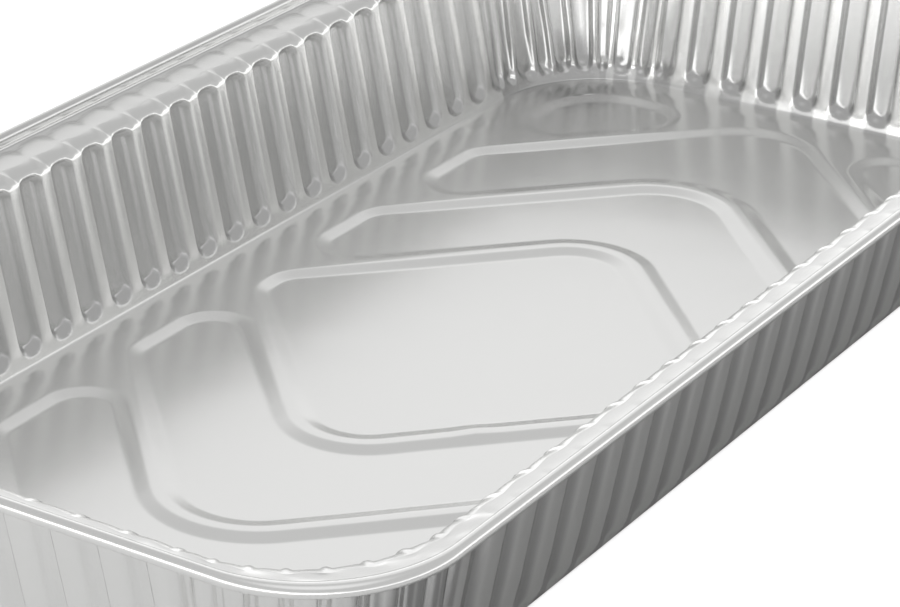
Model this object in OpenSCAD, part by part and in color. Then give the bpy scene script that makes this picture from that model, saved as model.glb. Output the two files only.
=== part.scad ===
// Foil roasting pan: one stamped aluminium sheet with fluted walls, pleated corners, a flat
// ledge, an upstand with a rolled edge, and a base of sunk panels between raised ribs.
// The pan stands on its panels with the bed at Z = 0; the centre of its plan is at X = Y = 0.

/* [Pan] */
// Overall length over the rolled edge
pan_length = 325; // [270:1:400]
// Overall width over the rolled edge
pan_width = 170; // [150:1:200]
// Height from the bed to the top of the rolled edge
pan_height = 42; // [34:1:60]
// Thickness of the foil
foil = 0.1; // [0.08:0.01:0.2]
// Radius of the base's corners, at the fold into the wall
corner_radius = 27; // [22:1:32]
// Radius of the pan's corners at the middle of the rolled edge
rim_corner_radius = 27; // [24:1:36]

/* [Wall] */
// Lean of the wall out from upright, in degrees
wall_lean = 11.4; // [6:0.1:16]
// Spacing of the flutes on the straight walls
flute_pitch = 9.67; // [8:0.01:13]
// Depth of the grooves between the ridges
flute_depth = 1.65; // [0.8:0.05:2.2]
// Width of a ridge at its crest
ridge_crest = 2.9; // [2:0.1:3.6]
// Width of a ridge where it meets the grooves
ridge_base = 5.3; // [4.4:0.1:6]
// Height of the plain band between the fold and the feet of the ridges
foot_height = 1.93; // [1:0.05:3]
// How far the feet of the ridges lie outside the fold
foot_out = 1.06; // [0.6:0.02:1.8]
// Height over which a groove sinks to its full depth at the foot
groove_run = 2.3; // [1.5:0.1:4]
// Height over which a ridge narrows to its tip under the ledge
tip_run = 3.45; // [2.5:0.05:5]
// Number of pleats in each corner
corner_pleats = 9; // [6:1:10]
// Depth of a corner pleat
pleat_depth = 1.15; // [0.5:0.05:1.4]
// Width of a pleat's ridge where it meets the grooves, as a share of the spacing
pleat_base = 0.44; // [0.36:0.02:0.5]
// Width of a pleat's ridge at its crest, as a share of the spacing
pleat_crest = 0.18; // [0.1:0.02:0.26]
// Unevenness of the pleats, as a share of their spacing and depth
pleat_unevenness = 0.2; // [0:0.02:0.2]

/* [Rim] */
// Distance from the wall, at the height of the ledge, out to the ledge
shoulder_out = 2.75; // [2:0.05:4]
// How far the ledge reaches inward above each ridge
scallop = 0.5; // [0.1:0.05:0.9]
// Width of the flat ledge, from the wall to the upstand
ledge_width = 6; // [4:0.1:9]
// Height of the upstand, from the ledge to the middle of the rolled edge
upstand = 2.75; // [2:0.05:4]
// Size of the bend between the ledge and the upstand
upstand_bend = 0.5; // [0.2:0.05:1]
// Radius of the rolled edge, outside
curl_radius = 1.25; // [1:0.05:1.6]

/* [Base] */
// Depth of the panels below the border and the ribs
panel_depth = 0.85; // [0.5:0.05:1.6]
// Width of the slope down from a rib into a panel
slope_run = 3.2; // [2:0.1:4]
// Width of the flat top of a rib
rib_top = 2.1; // [1:0.1:4]
// Width of the flat border between the fold and the panels
border = 10; // [7:0.5:13]
// Spacing of the ribs along the pan, fitted to the pan's length
rib_pitch = 41.8; // [34:0.2:56]
// How far the tip of the first rib's diamond would lie beyond the panels on the long side
diamond_reach = 5.8; // [4:0.2:9]
// How far the tip of the last rib would lie beyond the panels on the short side
end_reach = 11.85; // [9:0.05:14]
// Radius of the middle panel's rib at its tips
diamond_radius = 15; // [10:0.5:20]
// Radius of the outer ribs at their tips
chevron_radius = 20; // [14:0.5:26]
// Radius of the other panel corners, at the panel's floor
panel_radius = 6; // [3:0.5:7]

/* [Hidden] */

// Heights are counted from the upper face of the border, which lies this far above the bed
bed = panel_depth + foil;
curl_z = pan_height - bed - curl_radius;
ledge_z = curl_z - upstand;

// Distances out are counted from the fold
function wall_out(z) = foot_out + tan(wall_lean) * (z - foot_height);
ledge_in = wall_out(ledge_z) + shoulder_out;
ledge_out = ledge_in + ledge_width;
curl_mid = ledge_out + curl_radius;
reach = curl_mid + curl_radius;

// The fold is a rounded rectangle
fold_half_length = pan_length / 2 - reach;
fold_half_width = pan_width / 2 - reach;
straight_long = 2 * (fold_half_length - corner_radius);
straight_short = 2 * (fold_half_width - corner_radius);
corner_arc = corner_radius * PI / 2;
// Away from the fold the corners keep nearly their radius, so the straight walls gain in length
radius_growth = (rim_corner_radius - corner_radius) / curl_mid;
function radius_at(out) = corner_radius + radius_growth * out;
function gain(out) = out * (1 - radius_growth);

// Flutes run along the four walls, anticlockwise from the end wall at +X.
// Each is [quarter turn, in a corner, distance along the fold, spacing, depth, slip sideways,
// place of its point on the rim as a share of the corner's turn, or -1 where it has none]
function side_length(i) = i % 2 == 0 ? straight_short : straight_long;
function side_distance(i) = i % 2 == 0 ? fold_half_length : fold_half_width;
golden_angle = 137.5;
seed_angle = 50;
shift_share = 0.5;
function uneven(i, k, seed) = pleat_unevenness * sin(golden_angle * (k + 1) * (i + seed) + seed_angle * seed);
function wall_flutes(i) =
    let (n = round(side_length(i) / flute_pitch), step = side_length(i) / n)
    [for (k = [0 : n - 1]) [i, false, (k + 0.5) * step, step, flute_depth, 0, k == 0 || k == n - 1 ? 0 : -1]];
function corner_flutes(i) =
    let (step = corner_arc / corner_pleats)
    [for (k = [0 : corner_pleats - 1])
        [i, true, (k + 0.5 + shift_share * uneven(i, k, 1)) * step, step,
         pleat_depth * (1 + uneven(i, k, 2)), step * uneven(i, k, 3), k / (corner_pleats - 1)]];
flutes = [for (i = [0 : 3]) each concat(wall_flutes(i), corner_flutes(i))];
count = len(flutes);

function spin(p, i) = let (c = cos(90 * i), s = sin(90 * i)) [p[0] * c - p[1] * s, p[0] * s + p[1] * c];
function corner_middle(i, out) = [side_distance(i) - corner_radius, side_length(i) / 2] + gain(out) * [1, 1];
function on_wall(i, along, out) = [side_distance(i) + out, along - side_length(i) / 2];
// A point by its flute, its place along the fold beside the flute, its distance out and its height.
// Pleats fan out: each keeps its share of the way from one straight wall to the next.
function place(f, beside, out, z) =
    let (i = f[0], along = f[2] + beside, r = radius_at(out), arc = r * PI / 2,
         walk = along / corner_arc * (arc + 2 * gain(out)) - gain(out),
         turn = min(max(walk, 0), arc) / r * 180 / PI,
         p = f[1] ? corner_middle(i, out) + r * [cos(turn), sin(turn)] + [min(arc - walk, 0), min(walk, 0)]
             : on_wall(i, along, out),
         q = spin(p, i))
    [q[0], q[1], z];
// A point on the rim, where the corners are evenly divided
function place_on_rim(f, out, z) =
    let (i = f[0], turn = 90 * f[6],
         p = f[1] ? corner_middle(i, out) + radius_at(out) * [cos(turn), sin(turn)] : on_wall(i, f[2], out),
         q = spin(p, i))
    [q[0], q[1], z];

// How far the wall's sheet laps over the base sheet that it runs into
lap = 0.5;
// A groove starts this far out from and above the feet of the ridges
groove_mouth = [0.15, 0.35];
// A groove's arched top meets the shoulder, and a ridge ends, this far inside and below the ledge
arch = [2.3, 1.8];
tip = [0.28, 0.35];
groove_low = foot_height + groove_run;
groove_high = ledge_z - tip_run;
curl_angles = [180 : -45 : -90];
// Section of the sheet along a ridge or a groove, as [distance out, height] from the base to the rolled edge
function section(depth) =
    let (groove = depth > 0)
    concat(
        [[-lap, 0], [0, 0],
         [foot_out, foot_height] + (groove ? groove_mouth : [0, 0]),
         [wall_out(groove_low) + depth, groove_low],
         [wall_out(groove_high) + depth, groove_high],
         [ledge_in, ledge_z] - (groove ? arch : tip + [scallop, 0]),
         [groove ? ledge_in : ledge_in - scallop, ledge_z],
         [ledge_out - upstand_bend, ledge_z],
         [ledge_out, ledge_z + upstand_bend]],
        [for (a = curl_angles) [curl_mid + curl_radius * cos(a), curl_z + curl_radius * sin(a)]]);

function unit(v) = v / norm(v);
// The same section moved to the far face of the foil
sharpest_miter = 0.5;
function far_face(s) =
    [for (i = [0 : len(s) - 1])
        let (before = unit(i > 0 ? s[i] - s[i - 1] : s[1] - s[0]),
             after = i < len(s) - 1 ? unit(s[i + 1] - s[i]) : before,
             out = unit([before[1] + after[1], -before[0] - after[0]]))
        s[i] + out * foil / max(sharpest_miter, out * [after[1], -after[0]])];
function faces_of(s) = [s, far_face(s)];

ridge_section = faces_of(section(0));
groove_sections = [for (f = flutes) faces_of(section(f[4]))];
function half_crest(f) = f[3] / 2 * (f[1] ? pleat_crest : ridge_crest / flute_pitch);
function half_base(f) = f[3] / 2 * (f[1] ? pleat_base : ridge_base / flute_pitch);

// Rings of points from the base out to the rolled edge, for the near face (0) or the far face (1)
FOLD = 1;
FOOT = 2;
LOW = 3;
HIGH = 4;
TIP = 5;
LEDGE_IN = 6;
LEDGE_OUT = 7;
last_ring = len(ridge_section[0]) - 1;
function on_ridge(j, ring, face, beside) =
    let (p = ridge_section[face][ring]) place(flutes[j], beside, p[0], p[1]);
function in_groove(j, ring, face, beside) =
    let (p = groove_sections[j][face][ring]) place(flutes[j], beside, p[0], p[1]);
function to_groove_middle(j) =
    let (f = flutes[j], next = flutes[(j + 1) % count])
    f[1] && next[1] ? (next[2] - f[2]) / 2 : f[1] ? corner_arc - f[2] : f[3] / 2;
function one_ring(ring, face) = [for (j = [0 : count - 1]) on_ridge(j, ring, face, 0)];
function two_ring(ring, face, lean) =
    [for (j = [0 : count - 1]) for (k = [0, 1])
        k == 0 ? on_ridge(j, ring, face, lean * flutes[j][5]) : in_groove(j, ring, face, to_groove_middle(j))];
function four_ring(ring, face, lean) =
    [for (j = [0 : count - 1])
        let (f = flutes[j], slip = lean * f[5], bend = face * foil / 2,
             wide = half_base(f) - bend, narrow = half_crest(f) - bend)
        for (k = [0 : 3])
            k == 0 ? in_groove(j, ring, face, slip - wide)
            : k == 1 ? on_ridge(j, ring, face, slip - narrow)
            : k == 2 ? on_ridge(j, ring, face, slip + narrow)
            : in_groove(j, ring, face, slip + wide)];
function has_rim_point(j) = flutes[j % count][6] >= 0;
function edge_ring(ring, face) =
    let (p = ridge_section[face][ring])
    [for (j = [0 : count - 1]) if (has_rim_point(j)) place_on_rim(flutes[j], p[0], p[1])];
// A pleat leans: its foot and its tip slip opposite ways
slip_low = -0.5;
slip_high = 1;
function rings(face) = concat(
    [one_ring(0, face), one_ring(FOLD, face), two_ring(FOOT, face, slip_low), four_ring(LOW, face, slip_low),
     four_ring(HIGH, face, slip_high), two_ring(TIP, face, slip_high), two_ring(LEDGE_IN, face, slip_high)],
    [for (ring = [LEDGE_OUT : last_ring]) edge_ring(ring, face)]);

near_rings = rings(0);
ring_sizes = [for (r = near_rings) len(r)];
ring_starts = [for (i = 0, start = 0; i <= last_ring; start = start + ring_sizes[i], i = i + 1) start];
face_size = ring_starts[last_ring] + ring_sizes[last_ring];
// Rim points up to each flute, less one: the flute's own rim point or the last one before it
rim_index = [for (j = 0, n = 0; j < count; j = j + 1, n = n + (has_rim_point(j) ? 1 : 0)) n];

function at(ring, j, per, k) = ring_starts[ring] + (per * j + k + ring_sizes[ring]) % ring_sizes[ring];
function inner_edge(a, a_next, b) = [a, a_next, b];
function outer_edge(a, b, b_next) = [a, b_next, b];
function strip(ring, per) =
    [for (j = [0 : ring_sizes[ring] / per - 1]) for (k = [0 : per - 1])
        let (a = at(ring, j, per, k), a2 = at(ring, j, per, k + 1),
             b = at(ring + 1, j, per, k), b2 = at(ring + 1, j, per, k + 1))
        each [inner_edge(a, a2, b), outer_edge(a2, b, b2)]];
function fold_to_foot() =
    [for (j = [0 : count - 1])
        let (fold = at(FOLD, j, 1, 0), fold2 = at(FOLD, j, 1, 1),
             ridge = at(FOOT, j, 2, 0), groove = at(FOOT, j, 2, 1), ridge2 = at(FOOT, j, 2, 2))
        each [outer_edge(fold, ridge, groove), inner_edge(fold, fold2, groove),
              outer_edge(fold2, groove, ridge2)]];
function foot_to_flutes() =
    [for (j = [0 : count - 1])
        let (before = at(FOOT, j, 2, -1), ridge = at(FOOT, j, 2, 0), groove = at(FOOT, j, 2, 1),
             a = at(LOW, j, 4, 0), b = at(LOW, j, 4, 1), c = at(LOW, j, 4, 2), d = at(LOW, j, 4, 3),
             a2 = at(LOW, j, 4, 4))
        each [inner_edge(before, ridge, a), outer_edge(ridge, a, b), outer_edge(ridge, b, c),
              outer_edge(ridge, c, d), inner_edge(ridge, groove, d), outer_edge(groove, d, a2)]];
function flutes_to_tips() =
    [for (j = [0 : count - 1])
        let (ridge = at(TIP, j, 2, 0), groove = at(TIP, j, 2, 1), ridge2 = at(TIP, j, 2, 2),
             a = at(HIGH, j, 4, 0), b = at(HIGH, j, 4, 1), c = at(HIGH, j, 4, 2), d = at(HIGH, j, 4, 3),
             a2 = at(HIGH, j, 4, 4))
        each [inner_edge(a, b, ridge), inner_edge(b, c, ridge), inner_edge(c, d, ridge),
              outer_edge(d, ridge, groove), inner_edge(d, a2, groove), outer_edge(a2, groove, ridge2)]];
function ledge_strip() =
    [for (j = [0 : count - 1])
        let (ridge = at(LEDGE_IN, j, 2, 0), groove = at(LEDGE_IN, j, 2, 1), ridge2 = at(LEDGE_IN, j, 2, 2),
             edge = at(LEDGE_OUT, rim_index[j], 1, 0), edge2 = at(LEDGE_OUT, rim_index[j], 1, 1))
        each concat(
            [inner_edge(ridge, groove, edge), inner_edge(groove, ridge2, edge)],
            has_rim_point(j + 1) ? [outer_edge(ridge2, edge, edge2)] : [])];
near_faces = concat(strip(0, 1), fold_to_foot(), foot_to_flutes(), strip(LOW, 4), flutes_to_tips(),
    strip(TIP, 2), ledge_strip(), [for (ring = [LEDGE_OUT : last_ring - 1]) each strip(ring, 1)]);
function closing(ring, flip) =
    [for (k = [0 : ring_sizes[ring] - 1])
        let (a = at(ring, k, 1, 0), b = at(ring, k, 1, 1), c = b + face_size, d = a + face_size)
        each (flip ? [[a, d, b], [d, c, b]] : [[a, b, d], [b, c, d]])];

// Wall, ledge and rolled edge, with a narrow lap under which the base sheet joins
module wall_and_rim() {
    near = [for (r = near_rings) each r];
    far = [for (r = rings(1)) each r];
    far_faces = [for (f = near_faces) [f[2] + face_size, f[1] + face_size, f[0] + face_size]];
    polyhedron(concat(near, far), concat(near_faces, far_faces, closing(0, true), closing(last_ring, false)));
}

// Field of the panels, measured at their floors
panel_inset = border + slope_run;
field_half_length = fold_half_length - panel_inset;
field_half_width = fold_half_width - panel_inset;
field_radius = corner_radius - panel_inset;

// Ribs are lines |x| + |y| = tip, rounded where they cross the pan's middle
rib_half = rib_top / 2 + slope_run;
rib_diagonal = rib_half * sqrt(2);
first_tip = field_half_width + diamond_reach;
last_tip = field_half_length + end_reach;
rib_steps = max(1, round((last_tip - first_tip) / rib_pitch));
function rib_tip(k) = first_tip + (last_tip - first_tip) * k / rib_steps;
function rib_radius(k) = k == 0 ? diamond_radius : chevron_radius;

function right_of(v) = [v[1], -v[0]];
function turned(v, a) = [v[0] * cos(a) - v[1] * sin(a), v[0] * sin(a) + v[1] * cos(a)];
arc_step = 18;
// Closed outline through corners, each rounded by its own radius, then moved out by grow
function outline(corners, radii, grow) =
    [for (i = [0 : len(corners) - 1])
        let (p = corners[i], n = len(corners),
             along = unit(p - corners[(i + n - 1) % n]), onward = unit(corners[(i + 1) % n] - p),
             turn = atan2(along[0] * onward[1] - along[1] * onward[0], along * onward),
             way = sign(turn), r = radii[i],
             middle = p - along * r * tan(abs(turn) / 2) - way * r * right_of(along),
             steps = ceil(round(abs(turn)) / arc_step))
        for (k = [0 : steps]) middle + way * (r + way * grow) * right_of(turned(along, turn * k / steps))];

// Solid between a panel's outline at its floor and a wider one above
module sloped_block(corners, radii, floor_z, top_z) {
    low = outline(corners, radii, 0);
    high = outline(corners, radii, slope_run * (top_z - floor_z) / panel_depth);
    n = len(low);
    points = concat([for (p = low) [p[0], p[1], floor_z]], [for (p = high) [p[0], p[1], top_z]]);
    sides = [for (i = [0 : n - 1]) let (j = (i + 1) % n) each [[i, i + n, j], [j, i + n, j + n]]];
    polyhedron(points, concat(sides, [[for (i = [0 : n - 1]) i]], [[for (i = [n - 1 : -1 : 0]) i + n]]));
}

middle_tip = rib_tip(0) - rib_diagonal;
// The middle panel stays a little narrower than its ribs' diamond
widest_share = 0.935;
middle_half_width = min(field_half_width, widest_share * middle_tip);
module middle_panel(floor_z, top_z) {
    flat = middle_tip - middle_half_width;
    corners = [[middle_tip, 0], [flat, middle_half_width], [-flat, middle_half_width],
               [-middle_tip, 0], [-flat, -middle_half_width], [flat, -middle_half_width]];
    r = diamond_radius - rib_half;
    hull() sloped_block(corners, [r, panel_radius, panel_radius, r, panel_radius, panel_radius], floor_z, top_z);
}

module chevron_panel(k, floor_z, top_z) {
    inner = rib_tip(k) + rib_diagonal;
    outer = rib_tip(k + 1) - rib_diagonal;
    w = field_half_width;
    corners = [[outer, 0], [outer - w, w], [inner - w, w], [inner, 0], [inner - w, -w], [outer - w, -w]];
    radii = [rib_radius(k + 1) - rib_half, panel_radius, panel_radius,
             rib_radius(k) + rib_half, panel_radius, panel_radius];
    sloped_block(corners, radii, floor_z, top_z);
}

// Largest corner radii of the corner panels, as shares of the panel's leg
acute_share = 0.18;
square_share = 0.4;
module corner_panel(floor_z, top_z) {
    inner = rib_tip(rib_steps) + rib_diagonal;
    l = field_half_length;
    w = field_half_width;
    leg = l + w - inner;
    acute = min(panel_radius, acute_share * leg);
    square = min(field_radius, square_share * leg);
    hull() sloped_block([[l, inner - l], [l, w], [inner - w, w]], [acute, square, acute], floor_z, top_z);
}

module panels(floor_z, top_z) {
    middle_panel(floor_z, top_z);
    for (turn = [0, 180]) rotate(turn) for (k = [0 : rib_steps - 1]) chevron_panel(k, floor_z, top_z);
    for (x = [0, 1]) for (y = [0, 1]) mirror([x, 0, 0]) mirror([0, y, 0]) corner_panel(floor_z, top_z);
}

fold_facets = 64;
module fold_outline(inset) {
    offset(r = corner_radius - inset, $fn = fold_facets)
        square([straight_long, straight_short], center = true);
}

// Base sheet: a flat border and ribs, with each panel pressed down between them
module base_sheet() {
    difference() {
        union() {
            translate([0, 0, -foil]) linear_extrude(foil) fold_outline(lap / 2);
            panels(-panel_depth - foil, 0);
        }
        panels(-panel_depth, foil);
    }
}

module pan() {
    color([0.83, 0.84, 0.85])
        translate([0, 0, bed])
            union() {
                wall_and_rim();
                base_sheet();
            }
}

pan();
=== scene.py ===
import math
from collections import namedtuple

import bpy
import numpy as np
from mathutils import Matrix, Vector
from mathutils.geometry import delaunay_2d_cdt


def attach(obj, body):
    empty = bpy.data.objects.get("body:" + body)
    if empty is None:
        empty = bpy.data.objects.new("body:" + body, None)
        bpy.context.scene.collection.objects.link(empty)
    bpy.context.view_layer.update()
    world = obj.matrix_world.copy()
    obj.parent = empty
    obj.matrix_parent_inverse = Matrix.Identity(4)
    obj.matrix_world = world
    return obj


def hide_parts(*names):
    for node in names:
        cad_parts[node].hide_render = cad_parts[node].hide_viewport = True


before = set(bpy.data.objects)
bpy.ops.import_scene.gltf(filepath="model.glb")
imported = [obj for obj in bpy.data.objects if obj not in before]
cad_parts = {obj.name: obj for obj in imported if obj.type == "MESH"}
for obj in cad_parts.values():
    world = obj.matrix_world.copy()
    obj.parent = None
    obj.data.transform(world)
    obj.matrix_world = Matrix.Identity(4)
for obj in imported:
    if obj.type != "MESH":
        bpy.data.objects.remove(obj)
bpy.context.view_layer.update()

# Sizes in millimetres, the same as the pressed sheet of the CAD model
MM = 0.001
LENGTH, WIDTH, HEIGHT = 325.0, 170.0, 42.0
FOIL = 0.1
CORNER_RADIUS = 27.0
LEAN = math.tan(math.radians(11.4))
FLUTE_PITCH = 9.67
FLUTE_DEPTH = 1.65
RIDGE_CREST, RIDGE_BASE = 2.9, 5.3
FOOT_OUT, FOOT_HEIGHT = 1.06, 1.93
CORNER_PLEATS = 9
PLEAT_DEPTH = 1.15
PLEAT_CREST, PLEAT_BASE = 0.18, 0.44
PLEAT_UNEVENNESS = 0.2
SHOULDER_OUT, SCALLOP = 2.75, 0.5
LEDGE_WIDTH, UPSTAND, CURL_RADIUS = 6.0, 2.75, 1.25
PANEL_DEPTH, SLOPE_RUN, RIB_TOP, BORDER = 0.85, 3.2, 2.1, 10.0
RIB_PITCH, DIAMOND_REACH, END_REACH = 41.8, 5.8, 11.85
DIAMOND_RADIUS, CHEVRON_RADIUS, PANEL_RADIUS = 15.0, 20.0, 6.0

# Heights are counted from the upper face of the border, and distances out from the fold
BED = PANEL_DEPTH + FOIL
CURL_Z = HEIGHT - BED - CURL_RADIUS
LEDGE_Z = CURL_Z - UPSTAND
LEDGE_IN = FOOT_OUT + LEAN * (LEDGE_Z - FOOT_HEIGHT) + SHOULDER_OUT
LEDGE_OUT = LEDGE_IN + LEDGE_WIDTH
CURL_MID = LEDGE_OUT + CURL_RADIUS
HALF_LENGTH = LENGTH / 2 - CURL_MID - CURL_RADIUS
HALF_WIDTH = WIDTH / 2 - CURL_MID - CURL_RADIUS
CORNER_ARC = CORNER_RADIUS * math.pi / 2

# The fold goes round anticlockwise from the end wall at +X: wall, corner, wall, corner and so on
SIDE_DISTANCE = np.array([HALF_LENGTH, HALF_WIDTH] * 2)
SIDE_LENGTH = 2 * (np.array([HALF_WIDTH, HALF_LENGTH] * 2) - CORNER_RADIUS)
SIDE_START = np.concatenate([[0.0], np.cumsum(SIDE_LENGTH + CORNER_ARC)])
ROUND = SIDE_START[-1]

# Unevenness, each as (number of waves, shortest, longest, seed of its draws), with its height beside it
PLEAT_FOLDS, PLEAT_FOLD_HEIGHT = (7, 3.5, 11, 11), 0.42
WALL_WAVES, WALL_WAVE_HEIGHT = (8, 7, 30, 12), 0.02
LEDGE_WAVES, LEDGE_WAVE_HEIGHT = (7, 8, 26, 21), 0.02
CORNER_WAVES, CORNER_WAVE_HEIGHT = (7, 3, 9, 22), 0.12
SLOW_WAVES, SLOW_WAVE_HEIGHT = (9, 45, 130, 31), 0.06
FINE_WAVES, FINE_WAVE_HEIGHT = (9, 12, 30, 32), 0.01
BORDER_WAVES, BORDER_WAVE_HEIGHT = (9, 4, 9, 33), 0.085


def smooth(x):
    """Smooth step from 0 to 1: three x squared less two x cubed, on x held between 0 and 1."""
    x = np.clip(x, 0.0, 1.0)
    return x * x * (3 - 2 * x)


def ramp(x, start, run):
    """Smooth step from 0 at start to 1 one run further on. A negative run makes the step fall along x."""
    return smooth((x - start) / run)


def bend(x, width):
    """Zero below minus width, x above width, and between them the parabola that joins both smoothly."""
    return np.where(x < -width, 0, np.where(x > width, x, (x + width) ** 2 / (4 * width)))


def waves(u, v, count, shortest, longest, seed):
    """Gentle unevenness, mostly between -1 and 1: sine waves of random direction, length and phase."""
    draw = np.random.default_rng(seed)
    total = np.zeros(np.broadcast(u, v).shape)
    for _ in range(count):
        way = draw.uniform(0, 2 * math.pi)
        length = math.exp(draw.uniform(math.log(shortest), math.log(longest)))
        phase = draw.uniform(0, 2 * math.pi)
        total += np.sin(2 * math.pi * (u * math.cos(way) + v * math.sin(way)) / length + phase)
    return total / math.sqrt(count)


def folds(u, v, count, shortest, longest, seed):
    """Crumples with sharp creases, mostly between -1 and 1: zigzag waves whose creases run mostly along v."""
    widest = 0.9
    draw = np.random.default_rng(seed)
    total = np.zeros(np.broadcast(u, v).shape)
    for _ in range(count):
        way = draw.uniform(-widest, widest)
        length = math.exp(draw.uniform(math.log(shortest), math.log(longest)))
        x = (u * math.cos(way) + v * math.sin(way)) / length + draw.uniform(0, 1)
        total += 4 * np.abs(x - np.floor(x) - 0.5) - 1
    return total / math.sqrt(count)


def around(walk, out):
    """Plan position of a point at a distance walked along the fold and a distance out from it.
    On a wall the point lies straight out. In a corner it keeps its share of the corner's turn, on an arc
    whose radius stays the same while its centre moves out along the diagonal with the two walls."""
    walk = np.mod(walk, ROUND)
    side = np.clip(np.searchsorted(SIDE_START, walk, side="right") - 1, 0, 3)
    distance, length = SIDE_DISTANCE[side], SIDE_LENGTH[side]
    beyond = walk - SIDE_START[side] - length
    swept = beyond / CORNER_ARC * (CORNER_ARC + 2 * out) - out
    turn = np.clip(swept, 0, CORNER_ARC) / CORNER_RADIUS
    corner_x = distance - CORNER_RADIUS + out + CORNER_RADIUS * np.cos(turn)
    corner_x = corner_x + np.minimum(CORNER_ARC - swept, 0)
    corner_y = length / 2 + out + CORNER_RADIUS * np.sin(turn) + np.minimum(swept, 0)
    x = np.where(beyond > 0, corner_x, distance + out)
    y = np.where(beyond > 0, corner_y, beyond + length / 2)
    cos = np.array([1.0, 0.0, -1.0, 0.0])[side]
    sin = np.array([0.0, 1.0, 0.0, -1.0])[side]
    return x * cos - y * sin, x * sin + y * cos


def uneven(side, k, seed):
    """Unevenness of a corner pleat: a share times the sine of multiples of the golden angle, in degrees."""
    golden, shift = 137.5, 50
    return PLEAT_UNEVENNESS * math.sin(math.radians(golden * (k + 1) * (side + seed) + shift * seed))


def flute_table():
    """One row for each flute round the pan: the ridge's place on the fold, the middle of the next groove,
    the ridge's half width at its crest and at the groove's floor, the groove's depth, the ridge's slip
    sideways, and 1 in a corner."""
    rows = []
    for side in range(4):
        start, length = SIDE_START[side], SIDE_LENGTH[side]
        n = round(length / FLUTE_PITCH)
        step = length / n
        half_crest, half_base = step * RIDGE_CREST / FLUTE_PITCH / 2, step * RIDGE_BASE / FLUTE_PITCH / 2
        for k in range(n):
            ridge, groove = start + (k + 0.5) * step, start + (k + 1) * step
            rows.append([ridge, groove, half_crest, half_base, FLUTE_DEPTH, 0.0, 0.0])
        step = CORNER_ARC / CORNER_PLEATS
        places = [(k + 0.5 + 0.5 * uneven(side, k, 1)) * step for k in range(CORNER_PLEATS)] + [CORNER_ARC]
        for k in range(CORNER_PLEATS):
            middle = CORNER_ARC if k == CORNER_PLEATS - 1 else (places[k] + places[k + 1]) / 2
            ridge, groove = start + length + places[k], start + length + middle
            deep, slip = PLEAT_DEPTH * (1 + uneven(side, k, 2)), step * uneven(side, k, 3)
            rows.append([ridge, groove, step * PLEAT_CREST / 2, step * PLEAT_BASE / 2, deep, slip, 1.0])
    return np.array(rows)


# Places of the grid's columns between a ridge's middle and a groove's middle, as shares of that distance
WALL_COLUMNS = np.array([0, 0.07, 0.165, 0.26, 0.33, 0.42, 0.51, 0.6, 0.79])
PLEAT_COLUMNS = np.array([0, 0.09, 0.16, 0.23, 0.31, 0.4, 0.5, 0.65, 0.82])
# What is known of each column: place at the fold, slip, distances to the ridge's and the groove's middle,
# half width of the crest and of the ridge at the groove's floor, the groove's depth, 1 in a corner
Columns = namedtuple("Columns", "place slip to_ridge to_groove crest floor depth corner")


def columns():
    """The grid's columns round the pan, from each ridge's middle to the next."""
    here = flute_table()
    after = np.roll(here, -1, axis=0)
    after[-1, :2] += ROUND
    first, middle, _, _, depth, first_slip, _ = here.T[:, :, None]
    last, _, _, _, _, last_slip, _ = after.T[:, :, None]
    parts = []
    for ridge, sign in ((here, 1), (after, -1)):
        start, _, crest, floor, _, _, corner = ridge.T[:, :, None]
        half = (middle - start) * sign
        shares = np.where(corner > 0, PLEAT_COLUMNS, WALL_COLUMNS)
        if sign < 0:
            shares = np.concatenate([np.ones_like(shares[:, :1]), shares[:, :0:-1]], axis=1)
        a = half * shares
        place = start + sign * a
        blend = (place - first) / (last - first)
        slip = first_slip * (1 - blend) + last_slip * blend
        values = np.broadcast_arrays(place, slip, a, half - a, crest, floor, depth, corner)
        parts.append(np.stack(values, axis=-1))
    return Columns(*np.concatenate(parts, axis=1).reshape(-1, len(Columns._fields)).T)


# Heights of the wall's rows: fold, small step, feet of the grooves, plain run, arched tops, ledge
WALL_ROWS = np.array([0, 0.03, 0.1, 0.24, 0.7, 1.1, 1.5, 1.9, 2.3, 2.7, 3.1, 3.5, 3.9, 4.4, 5.2, 12.0, 31.0,
                      32.9, 33.6, 34.2, 34.7, 35.1, 35.5, 35.9, 36.3, 36.75, LEDGE_Z])
# Foot of the wall: the width of its bend, and the small step out just above the fold
FOOT_BEND = 1.6
STEP_OUT = 0.2
STEP_ROWS = (0, 0.03, 0.1, 0.24, FOOT_HEIGHT)
STEP_SHARES = (0, 0.5, 0.85, 1, 0)
# A corner pleat leans sideways between these heights, by these shares of its slip
SLIP_ROWS = (FOOT_HEIGHT, LEDGE_Z - 3.45)
SLIP_SHARES = (-0.5, 1.0)
# Grooves: lowest and highest point, height of the foot and of the arch for each millimetre of half width,
# the powers that round them, a height between the two, softness of the edge, and the floor's turn outward
GROOVE_LOW, GROOVE_HIGH = 1.5, 35.2
FOOT_TALL, ARCH_TALL = 0.85, 0.7
FOOT_POWER, ARCH_POWER = 2.0, 2.6
MID_WALL = 20
EDGE_SOFT = 0.12
FLOOR_ROWS = (0, 35.6, LEDGE_Z)
FLOOR_SHARES = (0, 0, 1)
# Run of a groove's side in shares of the ridge's widening: at the foot, and less above it and in the arch
SIDE_AT_FOOT, LESS_ABOVE, LESS_IN_ARCH = 2.15, 1.15, 0.25
# Depth of a groove: this share at its foot, and the rest is gained higher up
DEPTH_AT_FOOT, DEPTH_GAINED = 0.85, 0.15
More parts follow.
